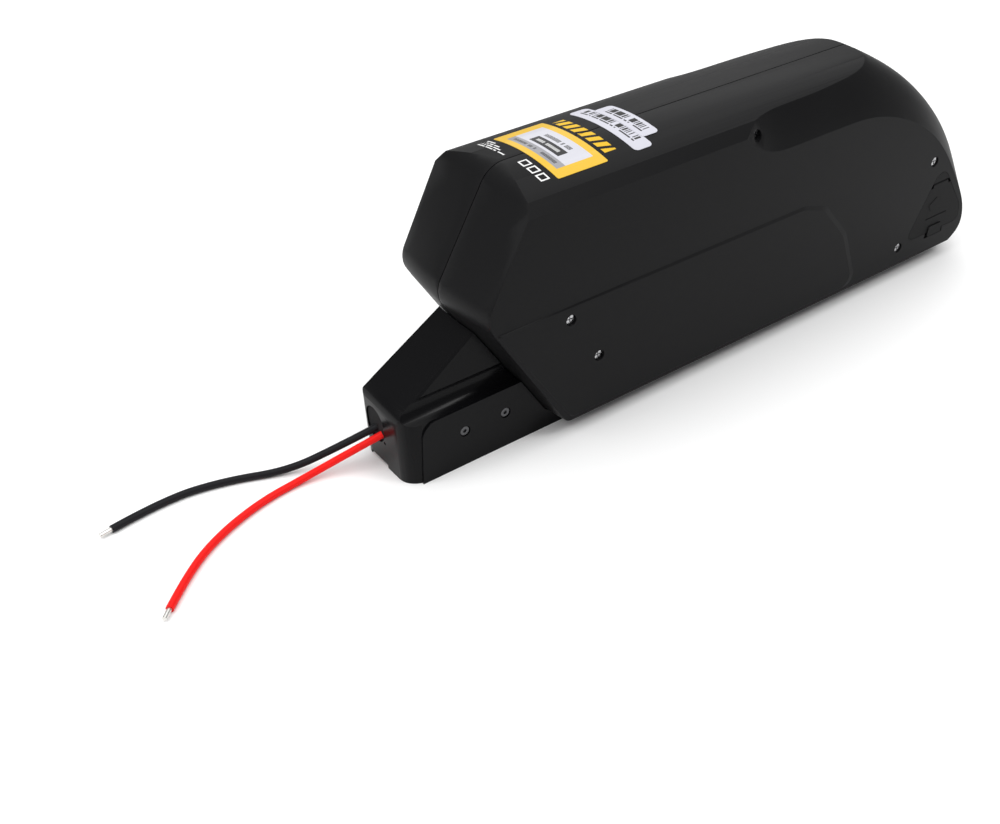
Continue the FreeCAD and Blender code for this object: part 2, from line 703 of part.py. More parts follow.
def box_form(d):
    """Outside form of the terminal box and its cable hood, moved inwards by d."""
    x0 = px(0) - BOX_REACH
    x1 = px(REAR)
    top = BOX_H + COVE_R
    half = BODY_HALF - d
    # below the ramp; the inner form is open at the bottom
    side = inset([(x0, -20.0, 0), (x0, ramp_z(x0), 12.0), (px(30), ramp_z(px(30)), 0), (x1, ramp_z(px(30)), 0),
                  (x1, -20.0, 0)], d)
    under = prism_xz(side, -BW - 5, BW + 5)
    plan = [(x0 + d, -half, 12 - d), (x0 + d, half, 12 - d), (x1 - d, half, 0), (x1 - d, -half, 0)]
    lower = prism_xy(plan, -10.0, top - d)
    rims = [e for e in lower.Edges if e.BoundBox.ZMin > top - d - 0.01 and e.BoundBox.XMin < x1 - d - 0.01]
    lower = lower.makeFillet(7.5 - d, rims)
    crest = pz(84.0)
    a = HOOD_HALF - d
    b = a + 3.6
    flare = [(-b, 20.0, 0), (-b, top - 2, 0), (-a, crest, 0), (a, crest, 0), (b, top - 2, 0), (b, 20.0, 0)]
    hood = prism_yz(flare, x0, x1 - d)
    rounding = [(x0 + d, -b - 1, 8 - d), (x0 + d, b + 1, 8 - d), (x1, b + 1, 0), (x1, -b - 1, 0)]
    hood = hood.common(prism_xy(rounding, 0.0, 200.0))
    hood = hood.common(under)
    if d == 0:
        # soft ridge between the hood's top and each side
        for s in (-1, 1):
            out = V(0, s * (crest - top + 2), b - a).normalize()
            up = V(-RAMP * SZ / SX, 0, 1).normalize()
            way = (out + up).normalize()
            spot = V(px((84.0 - RAMP_Z) / RAMP), s * a, crest)
            hood = hood.cut(Part.makeCylinder(120, 40, spot - way * 0.9, way))
    body = lower.common(under).fuse(hood)
    for s in (-1, 1):
        body = body.cut(rod(COVE_R + d, 400, (x0 - 20, s * BW, top), (1, 0, 0)))
    body = body.cut(front_solid(-(0.6 + d)))
    if d > 0:
        return body.removeSplitter()
    body = body.common(block(px(-100), px(100), -60, 60, 0, 200))
    cheek = [(px(-38.4), 0.0, 0), (px(-35.3), BOX_H - 0.4, 11), (x1, BOX_H + 0.3, 0), (x1, 0.0, 0)]
    for s in (-1, 1):
        pad = prism_xz(cheek, min(s * (BODY_HALF - 1), s * BW), max(s * (BODY_HALF - 1), s * BW))
        body = body.fuse(pad.cut(front_solid(-0.6)))
    return body.removeSplitter()


BOX_SCREWS = [(-7.7, 24.2), (20.9, 24.2)]
EXIT = (7.0, 27.5)      # y and z of the cable hole's centre
EXIT_R = 9.5
EXIT_TALL = 4.5         # extra height of the oval
HEAD_SINK = 2.2         # depth of the recesses for the box screws


def oval_x(r, tall, x0, x1):
    """Upright oval drawn out along X, centred on the cable hole."""
    y, z = EXIT
    pts = [(y - r, z - r - tall / 2.0, r * 0.999), (y - r, z + r + tall / 2.0, r * 0.999),
           (y + r, z + r + tall / 2.0, r * 0.999), (y + r, z - r - tall / 2.0, r * 0.999)]
    return prism_yz(pts, x0, x1)


def span(s, a, b):
    """Depths a and b on side s, smaller first."""
    return min(s * a, s * b), max(s * a, s * b)


def terminal_box():
    """Hollow cover of the terminal box, open below, with cable, plug and screw holes."""
    body = box_form(0.0).cut(box_form(BOX_WALL))
    x0 = px(0) - BOX_REACH
    body = body.cut(oval_x(EXIT_R, EXIT_TALL, x0 - 4, x0 + 12))
    body = body.cut(rod(1.0, 14, (x0 - 3, -2.1, 18.4), (1, 0, 0)))
    body = body.cut(block(px(20), px(62), -12.3, 12.3, BASE_H + 14.7, BASE_H + 27.3))
    # drain notch below the cable hole, and the way in for the base's floor
    body = body.cut(block(x0 - 4, x0 + 6, EXIT[0] - EXIT_R, EXIT[0] + EXIT_R, -1, 2.6))
    body = body.cut(block(px(REAR) - 10, px(REAR) + 2, -FLOOR_HALF - GAP, FLOOR_HALF + GAP, -1, 3.4))
    for a, z in BOX_SCREWS:
        for s in (-1, 1):
            lo, hi = span(s, BW - 8, BW + 2)
            body = body.cut(rod_y(1.7, px(a), z, lo, hi))
            lo, hi = span(s, BW - HEAD_SINK, BW + 2)
            body = body.cut(rod_y(3.5, px(a), z, lo, hi))
    return body.removeSplitter()


def box_ears():
    """Ears that rise from the base plate inside the terminal box and take its four screws."""
    out = []
    for s in (-1, 1):
        lo, hi = span(s, FLOOR_HALF - 3, FLOOR_HALF)
        for a, z in BOX_SCREWS:
            x = px(a)
            ear = block(x - 5, x + 5, lo, hi, 3.0, z + 5)
            out.append(ear.cut(rod_y(1.25, x, z, -BW, BW)))
    return out


def box_screws():
    """Four round-headed socket screws, sunk in the box's side plates."""
    out = []
    seat = BW - HEAD_SINK
    for a, z in BOX_SCREWS:
        for s in (-1, 1):
            x = px(a)
            lo, hi = span(s, seat, seat + 1.5)
            head = rod_y(2.9, x, z, lo, hi)
            lo, hi = span(s, seat - 7.0, seat)
            shank = rod_y(1.2, x, z, lo, hi)
            lo, hi = span(s, seat + 0.5, seat + 3.0)
            socket = rod_y(1.25, x, z, lo, hi)
            out.append(head.fuse(shank).cut(socket).removeSplitter())
    return bundle(out)


def base_connector():
    """Plug block that enters the pack, and its blades."""
    z0 = BASE_H + 15.0
    x0 = px(18)
    x1 = px(45.5)
    body = block(x0, x1, -12, 12, z0, z0 + 12)
    body = body.fuse(block(x0, x0 + 4, -16, 16, z0 - 6, z0 + 16))
    blades = []
    for y in (-9.0, -4.5, 0.0, 4.5, 9.0):
        body = body.cut(block(x0 - 2, x1 + 1, y - 0.4, y + 0.4, z0 + 3.1, z0 + 8.9))
        blades.append(block(x0 - 6, x1 + 9.0, y - 0.4, y + 0.4, z0 + 3.1, z0 + 8.9))
    return body.removeSplitter(), bundle(blades)


def lock_striker():
    """Steel catch plate on the base floor that takes the lock's bolt."""
    x = px(LOCK[0])
    plate = block(x - 11, x + 11, LOCK_Y - 13, LOCK_Y + 3.7, 3.5, BASE_H - 2.0)
    return plate.cut(rod_z(4.6, x, LOCK_Y, 3.0, BASE_H + 1)).cut(rod_z(1.6, x - 7, LOCK_Y - 9, 3, 20))


BLACK_PATH = [(-234.7, 8.0, 24.0), (-257.5, 16.5, 14.5), (-285.5, 29.5, 2.4), (-317.5, 43.5, 2.4),
              (-351.5, 50.0, 2.4), (-385.5, 44.5, 2.4)]
RED_PATH = [(-234.7, 2.2, 22.0), (-254.5, 10.0, 12.5), (-280.5, 17.5, 2.4), (-310.5, 14.0, 2.4),
            (-341.5, 2.5, 2.4), (-365.5, -13.5, 2.4), (-385.0, -33.0, 2.4)]


def inner_leads():
    """Leads inside the box from the sleeve to the plug's outer blades, and their push-on lugs."""
    x0 = px(0) - BOX_REACH + 12.0
    x1 = px(18) - 12.0
    z1 = BASE_H + 21.0
    wires = []
    lugs = []
    for a, z, b in ((9.0, 30.0, 9.0), (2.0, 24.0, -9.0)):
        way = V(x1 - x0, b - a, z1 - z)
        wires.append(Part.makeCylinder(LEAD_D / 2.0, way.Length, V(x0, a, z), way))
        lug = block(x1 + 1.6, x1 + 12.0, b - 1.6, b + 1.6, z1 - 4.0, z1 + 4.0)
        lugs.append(lug.cut(block(x1 + 6.0, x1 + 13, b - 0.4, b + 0.4, z1 - 2.9, z1 + 2.9)))
    return bundle(wires), bundle(lugs)


def lead(points):
    """Insulated lead and the bare strand that shows at its far end."""
    tube, length = cord(points, LEAD_D)
    end = V(*points[-1])
    way = (end - V(*points[-2])).normalize()
    core = Part.makeCylinder(1.35, 7.0, end, way)
    print("  length", round(length, 1), "volume ratio", round(tube.Volume / (length * math.pi * LEAD_D ** 2 / 4), 4))
    return tube, core


def cable_sleeve():
    """Braided sleeve end that fills the upper part of the cable hole."""
    x0 = px(0) - BOX_REACH
    return oval_x(EXIT_R - GAP, EXIT_TALL, x0 + 1.0, x0 + 12.0)


def main():
    """Builds every node and writes it."""
    os.makedirs(OUT, exist_ok=True)
    rows = cell_centres()
    left, right = build_shells()
    write("left_shell", left)
    write("right_shell", right)
    write("shell_screws", shell_screws())
    write("shell_seal", shell_seal())
    write("cell_holder_left", cell_holder(-1, rows))
    write("cell_holder_right", cell_holder(1, rows))
    for c in range(PER_ROW):
        side = -1 if c % 2 else 1
        write("cell_group_%02d" % (c + 1), cell_group([row[c] for row in rows], side))
    write("nickel_left", nickel(-1, rows))
    write("nickel_right", nickel(1, rows))
    for name, shape in electronics(rows).items():
        write(name, shape)
    body, contacts = pack_connector()
    write("pack_connector", body)
    write("pack_contacts", contacts)
    body, pin = charge_port()
    write("charge_port", body)
    write("charge_pin", pin)
    flap, tab = charge_cover()
    write("charge_cover", flap)
    write("charge_cover_tab", tab)
    housing, barrel, bolt = lock_parts()
    write("lock_housing", housing)
    write("lock_barrel", barrel)
    write("lock_bolt", bolt)
    bezel, rocker = rocker_parts()
    write("switch_bezel", bezel)
    write("switch_rocker", rocker)
    board, window, button = gauge_parts()
    write("gauge_board", board)
    write("gauge_window", window)
    write("gauge_button", button)
    write("rating_label", deck_label(61.0, 95.5, -31.0, 30.8, 0.02, 1.2))
    write("barcode_label", deck_label(115.0, 128.0, -31.0, 31.5, 0.02, 3.0))
    write("serial_label", deck_label(126.5, 139.5, -22.5, 22.2, 0.2, 3.0))
    write("base_plate", base_plate())
    write("terminal_box", terminal_box())
    write("box_screws", box_screws())
    body, blades = base_connector()
    write("base_connector", body)
    write("base_blades", blades)
    write("lock_striker", lock_striker())
    tube, core = lead(BLACK_PATH)
    write("lead_black", tube)
    write("strand_black", core)
    tube, core = lead(RED_PATH)
    write("lead_red", tube)
    write("strand_red", core)
    write("cable_sleeve", cable_sleeve())
    wires, lugs = inner_leads()
    write("inner_leads", wires)
    write("lead_lugs", lugs)


main()
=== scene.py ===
"""Looks of a down-tube battery pack: finishes, edge softening, printed labels and free leads."""

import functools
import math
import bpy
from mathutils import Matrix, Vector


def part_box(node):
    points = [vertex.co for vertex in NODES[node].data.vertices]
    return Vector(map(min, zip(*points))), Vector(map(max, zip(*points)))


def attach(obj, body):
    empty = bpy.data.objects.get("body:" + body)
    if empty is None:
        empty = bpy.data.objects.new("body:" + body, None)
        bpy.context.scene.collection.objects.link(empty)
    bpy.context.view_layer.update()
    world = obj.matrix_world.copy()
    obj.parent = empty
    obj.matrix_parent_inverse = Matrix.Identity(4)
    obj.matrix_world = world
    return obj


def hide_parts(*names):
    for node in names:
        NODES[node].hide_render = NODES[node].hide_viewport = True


bl_info = {
    "name": "Down-tube battery pack",
    "version": (1, 0, 0),
    "blender": (4, 5, 0),
    "location": "3D View > Sidebar > Battery",
    "description": "Finishes, labels, leads and studio of a down-tube battery pack",
    "category": "Object",
}

import bpy

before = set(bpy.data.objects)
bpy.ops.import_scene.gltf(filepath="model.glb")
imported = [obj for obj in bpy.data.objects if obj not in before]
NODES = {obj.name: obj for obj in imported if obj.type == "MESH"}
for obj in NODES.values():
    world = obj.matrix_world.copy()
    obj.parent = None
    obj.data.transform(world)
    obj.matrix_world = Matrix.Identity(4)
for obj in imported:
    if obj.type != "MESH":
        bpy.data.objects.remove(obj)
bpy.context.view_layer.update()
MM = 0.001

PLASTIC_SHINE = 0.1         # specular level of everything that isn't metal
GRAIN_DEPTH = 0.06 * MM     # relief of the moulded texture
GRAIN_DETAIL = 2.0          # finer layers in its noise

# Socket numbers of the colour Mix node.
MIX_MASK = 0
MIX_FIRST = 6
MIX_SECOND = 7
MIX_RESULT = 2


# ---- shader expressions ----------------------------------------------------------------------
class Value:
    """A node socket that takes part in arithmetic; each operation adds its Math node."""

    def __init__(self, finish, socket):
        self.finish = finish
        self.socket = socket

    def _math(self, operation, *values):
        inputs = dict(enumerate(values))
        return self.finish.node("ShaderNodeMath", {"operation": operation}, inputs)

    def __add__(self, other):
        return self._math("ADD", self, other)

    def __radd__(self, other):
        return self._math("ADD", other, self)

    def __sub__(self, other):
        return self._math("SUBTRACT", self, other)

    def __rsub__(self, other):
        return self._math("SUBTRACT", other, self)

    def __mul__(self, other):
        return self._math("MULTIPLY", self, other)

    def __rmul__(self, other):
        return self._math("MULTIPLY", other, self)

    def __truediv__(self, other):
        return self._math("DIVIDE", self, other)

    def __rtruediv__(self, other):
        return self._math("DIVIDE", other, self)

    def __gt__(self, other):
        return self._math("GREATER_THAN", self, other)

    def __lt__(self, other):
        return self._math("LESS_THAN", self, other)

    def floor(self):
        """Whole number below."""
        return self._math("FLOOR", self)

    def fract(self):
        """What is left above the whole number."""
        return self._math("FRACT", self)

    def absolute(self):
        """Size without sign."""
        return self._math("ABSOLUTE", self)

    def either(self, other):
        """The larger of two masks."""
        return self._math("MAXIMUM", self, other)

    def between(self, low, high):
        """1 where the value lies between two limits."""
        return (self > low) * (self < high)


class Finish:
    """One material with a principled shader, filled in by expressions."""

    def __init__(self, name, color, roughness, metallic=0.0):
        self.material = bpy.data.materials.new(name)
        self.material.use_nodes = True
        self.tree = self.material.node_tree
        self.shader = self.tree.nodes["Principled BSDF"]
        self.shader.inputs["Base Color"].default_value = (*color, 1.0)
        self.shader.inputs["Roughness"].default_value = roughness
        self.shader.inputs["Metallic"].default_value = metallic
        if not metallic:
            self.shader.inputs["Specular IOR Level"].default_value = PLASTIC_SHINE
        self._spot = None

    def node(self, kind, settings=None, inputs=None, output=0):
        """Adds a node: its settings first, then the value or link of each socket."""
        made = self.tree.nodes.new(kind)
        for key, value in (settings or {}).items():
            setattr(made, key, value)
        for key, value in (inputs or {}).items():
            if isinstance(value, Value):
                self.tree.links.new(value.socket, made.inputs[key])
            else:
                made.inputs[key].default_value = value
        return Value(self, made.outputs[output])

    def fixed(self, socket, value):
        """A constant on the shader's own socket."""
        self.shader.inputs[socket].default_value = value

    def drive(self, socket, value):
        """Something that changes over the surface."""
        self.tree.links.new(value.socket, self.shader.inputs[socket])

    def spot(self):
        """Object-space position in metres."""
        if self._spot is None:
            self._spot = self.node("ShaderNodeTexCoord", output="Object")
        return self._spot

    def axes(self):
        """Object-space X, Y and Z in metres."""
        split = self.node("ShaderNodeSeparateXYZ", None, {0: self.spot()})
        return [Value(self, part) for part in split.socket.node.outputs]

    def mix(self, mask, first, second):
        """Colour that goes from first to second by the mask."""
        inputs = {MIX_MASK: mask, MIX_FIRST: first, MIX_SECOND: second}
        return self.node("ShaderNodeMix", {"data_type": "RGBA"}, inputs, MIX_RESULT)

    def noise(self, scale):
        """Even grain over the surface, 0 to 1."""
        inputs = {"Vector": self.spot(), "Scale": scale, "Detail": GRAIN_DETAIL}
        return self.node("ShaderNodeTexNoise", None, inputs)

    def bump(self, height, strength, distance):
        """Fine relief from a height."""
        inputs = {"Strength": strength, "Distance": distance, "Height": height}
        self.drive("Normal", self.node("ShaderNodeBump", None, inputs))

    def chance(self, value):
        """A random number 0 to 1 for each whole value."""
        return self.node("ShaderNodeTexWhiteNoise", {"noise_dimensions": "1D"}, {"W": value})


def wear(names, finish):
    """Puts one finish on CAD nodes."""
    for name in names:
        data = NODES[name].data
        data.materials.clear()
        data.materials.append(finish.material)


def soften(name, width, angle=28.0, segments=3):
    """Rounds the sharp edges of a CAD node by a small modifier."""
    piece = NODES[name]
    weld = piece.modifiers.new("join", "WELD")
    weld.merge_threshold = 2e-6
    edge = piece.modifiers.new("edge", "BEVEL")
    edge.width = width
    edge.segments = segments
    edge.limit_method = "ANGLE"
    edge.angle_limit = math.radians(angle)
    edge.harden_normals = True
    edge.use_clamp_overlap = True


# ---- settings --------------------------------------------------------------------------------
class PackLook(bpy.types.PropertyGroup):
    """Colours and edge sizes of the pack."""

    shell_color: bpy.props.FloatVectorProperty(
        name="Shell", description="Colour of the two half shells", subtype="COLOR", size=3,
        default=(0.0048, 0.0048, 0.0053), min=0.0, max=1.0)
    shell_roughness: bpy.props.FloatProperty(
        name="Shell roughness", description="Dullness of the spark-textured shells",
        default=0.44, min=0.0, max=1.0)
    edge_round: bpy.props.FloatProperty(
        name="Edge rounding", description="Rounding of the shells' sharp edges",
        default=1.2 * MM, unit="LENGTH")
    frame_color: bpy.props.FloatVectorProperty(
        name="Label frame", description="Yellow frame of the rating label", subtype="COLOR", size=3,
        default=(0.68, 0.42, 0.022), min=0.0, max=1.0)


class LeadLook(bpy.types.PropertyGroup):
    """Sizes and colours of the two free leads."""

    diameter: bpy.props.FloatProperty(
        name="Diameter", description="Over the silicone insulation", default=4.5 * MM, unit="LENGTH")
    red: bpy.props.FloatVectorProperty(
        name="Red", description="Positive lead", subtype="COLOR", size=3,
        default=(0.80, 0.012, 0.010), min=0.0, max=1.0)
    black: bpy.props.FloatVectorProperty(
        name="Black", description="Negative lead", subtype="COLOR", size=3,
        default=(0.012, 0.012, 0.014), min=0.0, max=1.0)


class StageLook(bpy.types.PropertyGroup):
    """Floor and light."""

    floor_color: bpy.props.FloatVectorProperty(
        name="Floor", description="Plain pale floor", subtype="COLOR", size=3,
        default=(0.95, 0.95, 0.95), min=0.0, max=1.0)


# ---- print -----------------------------------------------------------------------------------
LABEL = {name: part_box(name) for name in ("rating_label", "barcode_label", "serial_label")}
WORD_GAPS = 0.18                # share of letters left out of small print

# Lengths from here on are in millimetres: X from the rating label's end at the leads, Y from the seam.

PRINT_DEPTH = 8.0               # print on the shells reaches this far below the label's top
SHELL_ROWS = (                  # X, Y from, Y to
    (-4.0, 22.0, 31.0), (-6.2, 16.0, 31.0), (-8.4, 12.0, 31.0), (-10.6, 5.0, 31.0))
SHELL_ROW_HEIGHT = 1.0
SHELL_LETTER = 1.1
SHELL_WHITE = (0.75, 0.75, 0.75, 1.0)

SQUARE_STARTS = (-28.5, -20.5, -12.5)
SQUARE_X = -9.5
SQUARE_SIDE = 6.0
SQUARE_LINE = 1.0

STRIP_GAP = 3.0                 # slanted bars start this far past the rating label
STRIP_WIDTH = 8.0
STRIP_ENDS = (-24.0, 25.0)
STRIP_PITCH = 7.0
STRIP_LEAN = 0.35
STRIP_FILL = 0.62               # yellow share of the pitch

INK = (0.01, 0.01, 0.01, 1.0)
PALE_INK = (0.6, 0.6, 0.6, 1.0)
PANELS = (                      # X from, X to, Y from, Y to, colour
    (4.5, 29.5, -23.5, 23.5, (0.54, 0.54, 0.59, 1.0)),
    (4.5, 10.5, -23.5, 23.5, (0.27, 0.27, 0.29, 1.0)),
    (12.5, 19.5, -14.0, 13.0, (0.012, 0.012, 0.014, 1.0)))
PANEL_ROWS = (                  # X, height, Y from, Y to, ink
    (6.4, 2.2, -20.0, 20.0, INK), (14.8, 2.4, -11.0, 10.0, PALE_INK), (21.6, 3.0, -12.0, 12.0, INK))
PANEL_LETTER = 1.7
GLYPH_PITCH = 0.85
GLYPH_FILL = 0.66

# Across these two labels, places and heights are shares of the label's own width in X.
PAPER = (0.54, 0.54, 0.60)
BAR_INK = (0.03, 0.03, 0.03, 1.0)
BAR_LABELS = (                  # name, bars from and to across it, Y from, Y to
    ("barcode_label", 0.52, 0.86, -23.0, 26.0), ("serial_label", 0.42, 0.80, -17.5, 17.0))
BAR_PITCH = 0.8
BAR_GAPS = 0.34                 # share of bars left white
LINE_BEFORE = 0.16              # from the bars back to the small print
LINE_HEIGHT = 0.09
LINE_LETTER = 1.2


def any_of(masks):
    """1 where at least one mask is."""
    return functools.reduce(Value.either, masks)


def patch(x, y, x_span, y_span):
    """1 inside a rectangle; each span is a pair of limits in metres."""
    return x.between(*x_span) * y.between(*y_span)


def print_bars(finish, x, y, x_span, y_span, letter, seed):
    """One row of short bars that stands for small print, along Y."""
    cell = (y / letter).floor()
    word = finish.chance(cell + seed) > WORD_GAPS
    return patch(x, y, x_span, y_span) * word


def grained(name, color, roughness, scale=2600.0, strength=0.18):
    """Moulded plastic with a fine spark texture."""
    finish = Finish(name, color, roughness)
    finish.bump(finish.noise(scale), strength, GRAIN_DEPTH)
    return finish


class BATTERY_OT_shells(bpy.types.Operator):
    """Half shells: spark-textured black plastic with white and yellow print on the top"""

    bl_idname = "battery.shells"
    bl_label = "Half shells"

    def execute(self, context):
        look = context.scene.pack_look
        finish = grained("shell_black", look.shell_color, look.shell_roughness)
        x, y, z = finish.axes()
        low, high = LABEL["rating_label"]
        top = z > high.z - PRINT_DEPTH * MM
        white = any_of(self.small_print(finish, x, y, low.x) + self.squares(x, y, low.x))
        color = finish.mix(white * top, (*look.shell_color, 1.0), SHELL_WHITE)
        color = finish.mix(self.strip(x, y, high.x) * top, color, (*look.frame_color, 1.0))
        finish.drive("Base Color", color)
        wear(("left_shell", "right_shell"), finish)
        for name in ("left_shell", "right_shell"):
            soften(name, look.edge_round)
        wear(("shell_seal",), Finish("seal_rubber", (0.02, 0.02, 0.02), 0.8))
        return {"FINISHED"}

    def small_print(self, finish, x, y, edge):
        """Masks of the rows before the rating label."""
        rows = []
        for number, (back, start, stop) in enumerate(SHELL_ROWS):
            row = edge + back * MM
            spans = (row, row + SHELL_ROW_HEIGHT * MM), (start * MM, stop * MM)
            rows.append(print_bars(finish, x, y, *spans, SHELL_LETTER * MM, 37.0 * number))
        return rows

    def squares(self, x, y, edge):
        """Masks of the open squares before the rating label."""
        inset = SQUARE_LINE * MM
        side = SQUARE_SIDE * MM
        left = edge + SQUARE_X * MM
        masks = []
        for place in SQUARE_STARTS:
            start = place * MM
            outer = patch(x, y, (left, left + side), (start, start + side))
            inner = patch(x, y, (left + inset, left + side - inset), (start + inset, start + side - inset))
            masks.append(outer - inner)
        return masks

    def strip(self, x, y, edge):
        """Mask of the slanted bars behind the rating label."""
        start = edge + STRIP_GAP * MM
        first, last = STRIP_ENDS
        inside = patch(x, y, (start, start + STRIP_WIDTH * MM), (first * MM, last * MM))
        slant = y + STRIP_LEAN * x
        return inside * ((slant / (STRIP_PITCH * MM)).fract() < STRIP_FILL)


class BATTERY_OT_labels(bpy.types.Operator):
    """Rating label with its yellow frame, and two white bar labels"""

    bl_idname = "battery.labels"
    bl_label = "Labels"

    def execute(self, context):
        look = context.scene.pack_look
        edge = LABEL["rating_label"][0].x
        finish = Finish("label_yellow", look.frame_color, 0.35)
        x, y, _ = finish.axes()
        color = (*look.frame_color, 1.0)
        for x_from, x_to, y_from, y_to, tone in PANELS:
            panel = patch(x, y, (edge + x_from * MM, edge + x_to * MM), (y_from * MM, y_to * MM))
            color = finish.mix(panel, color, tone)
        for number, (across, height, y_from, y_to, ink) in enumerate(PANEL_ROWS):
            row = edge + across * MM
            spans = (row, row + height * MM), (y_from * MM, y_to * MM)
            bars = print_bars(finish, x, y, *spans, PANEL_LETTER * MM, 11.0 * number)
            glyph = (y / (GLYPH_PITCH * MM)).fract() < GLYPH_FILL
            color = finish.mix(bars * glyph, color, ink)
        finish.drive("Base Color", color)
        finish.fixed("Coat Weight", 0.25)
        wear(("rating_label",), finish)
        for name, *layout in BAR_LABELS:
            wear((name,), self.bar_label(name, *layout))
        return {"FINISHED"}

    def bar_label(self, name, bar_low, bar_high, start, stop):
        """White paper with a row of bars and a line of small print."""
        low, high = LABEL[name]
        width = high.x - low.x
        length = (start * MM, stop * MM)
        finish = Finish(name, PAPER, 0.4)
        x, y, _ = finish.axes()
        bars = patch(x, y, (low.x + bar_low * width, low.x + bar_high * width), length)
        bars = bars * (finish.chance((y / (BAR_PITCH * MM)).floor()) > BAR_GAPS)
        line = low.x + (bar_low - LINE_BEFORE) * width
        small = print_bars(finish, x, y, (line, line + LINE_HEIGHT * width), length, LINE_LETTER * MM, 5.0)
        finish.drive("Base Color", finish.mix(bars.either(small), (*PAPER, 1.0), BAR_INK))
        return finish


WEAVE_PITCH = 1.3 * MM          # braid of the cable sleeve
WEAVE_DEPTH = 0.4 * MM


class BATTERY_OT_base(bpy.types.Operator):
    """Rail base and terminal box in satin black plastic"""

    bl_idname = "battery.base"
    bl_label = "Base and terminal box"

    def execute(self, context):
        wear(("terminal_box",), grained("box_black", (0.0034, 0.0034, 0.0039), 0.24, 2200.0, 0.10))
        wear(("base_plate",), grained("base_black", (0.0045, 0.0045, 0.0050), 0.42))
        soften("terminal_box", 0.8 * MM, angle=20.0, segments=4)
        soften("base_plate", 0.5 * MM)
        sleeve = Finish("sleeve_braid", (0.015, 0.015, 0.016), 0.7)
        _, y, z = sleeve.axes()
        weave = ((y + z) / WEAVE_PITCH).fract() * ((y - z) / WEAVE_PITCH).fract()
        sleeve.bump(weave, 0.8, WEAVE_DEPTH)
        wear(("cable_sleeve",), sleeve)
        return {"FINISHED"}


class BATTERY_OT_hardware(bpy.types.Operator):
    """Screws, lock, switch, charge gauge and the rubber cover of the charge socket"""

    bl_idname = "battery.hardware"
    bl_label = "Hardware"

    def execute(self, context):
        wear(("shell_screws",), Finish("screw_steel", (0.48, 0.48, 0.49), 0.22, 1.0))
        wear(("box_screws",), Finish("screw_black", (0.10, 0.10, 0.105), 0.35, 1.0))
        steel = Finish("lock_steel", (0.55, 0.55, 0.56), 0.3, 1.0)
        wear(("lock_barrel", "lock_bolt", "lock_striker"), steel)
        soften("lock_barrel", 0.4 * MM)
        wear(("lock_housing",), Finish("lock_zinc", (0.30, 0.30, 0.31), 0.45, 1.0))
        cover = grained("cover_rubber", (0.0050, 0.0050, 0.0054), 0.55, 1800.0, 0.1)
        wear(("charge_cover", "charge_cover_tab"), cover)
        soften("charge_cover", 0.5 * MM)
        wear(("switch_rocker",), Finish("rocker_black", (0.01, 0.01, 0.01), 0.18))
        soften("switch_rocker", 0.5 * MM)
        black = Finish("connector_black", (0.014, 0.014, 0.014), 0.5)
        wear(("switch_bezel", "pack_connector", "charge_port", "base_connector"), black)
        lens = Finish("window_clear", (0.05, 0.052, 0.055), 0.12)
        lens.fixed("Transmission Weight", 0.6)
        wear(("gauge_window",), lens)
        wear(("gauge_button",), Finish("button_rubber", (0.06, 0.06, 0.065), 0.6))
        return {"FINISHED"}


CELL_WRAP = (0.03, 0.10, 0.30)
CELL_END = (0.6, 0.6, 0.6, 1.0)
WRAP_REACH = 31.0 * MM          # half length of the wrap; bare metal beyond


class BATTERY_OT_inside(bpy.types.Operator):
    """Cells, holders, strips and protection board"""

    bl_idname = "battery.inside"
    bl_label = "Cells and electronics"

    def execute(self, context):
        groups = [name for name in NODES if name.startswith("cell_group_")]
        cell = Finish("cell_wrap", CELL_WRAP, 0.35)
        _, y, _ = cell.axes()
        ends = y.absolute() > WRAP_REACH
        cell.drive("Base Color", cell.mix(ends, (*CELL_WRAP, 1.0), CELL_END))
        cell.drive("Metallic", ends)
        wear(groups, cell)
        plain = {
            "holder_plastic": ((0.02, 0.02, 0.022), 0.55, 0.0, ("cell_holder_left", "cell_holder_right")),
            "nickel": ((0.70, 0.66, 0.58), 0.3, 1.0, ("nickel_left", "nickel_right", "lead_lugs")),
            "fibre_sheet": ((0.25, 0.40, 0.30), 0.8, 0.0, ("insulating_sheet",)),
            "board_green": ((0.01, 0.10, 0.03), 0.35, 0.0, ("bms_board", "gauge_board")),
            "chip_black": ((0.012, 0.012, 0.012), 0.4, 0.0, ("bms_transistors", "fuse_holder")),
            "sink_aluminium": ((0.75, 0.76, 0.78), 0.35, 1.0, ("heat_sink",)),
            "connector_white": ((0.75, 0.73, 0.65), 0.45, 0.0, ("balance_connector",)),
            "fuse_ceramic": ((0.72, 0.70, 0.65), 0.3, 0.0, ("fuse_link",)),
            "copper": ((0.75, 0.35, 0.18), 0.3, 1.0, ("copper_bars",)),
            "brass_contact": ((0.80, 0.60, 0.25), 0.3, 1.0, ("pack_contacts", "charge_pin", "base_blades")),
            "tinned_strand": ((0.70, 0.69, 0.66), 0.35, 1.0, ("strand_black", "strand_red")),
        }
        for name, (color, roughness, metallic, nodes) in plain.items():
            wear(nodes, Finish(name, color, roughness, metallic))
        return {"FINISHED"}


# ---- leads -----------------------------------------------------------------------------------
BLACK_ROUTE = [(-0.2347, 0.0080, 0.0240), (-0.2575, 0.0165, 0.0145), (-0.2855, 0.0295, 0.0024),
               (-0.3175, 0.0435, 0.0024), (-0.3515, 0.0500, 0.0024), (-0.3855, 0.0445, 0.0024)]
RED_ROUTE = [(-0.2347, 0.0022, 0.0220), (-0.2545, 0.0100, 0.0125), (-0.2805, 0.0175, 0.0024),
             (-0.3105, 0.0140, 0.0024), (-0.3415, 0.0025, 0.0024), (-0.3655, -0.0135, 0.0024),
             (-0.3850, -0.0330, 0.0024)]


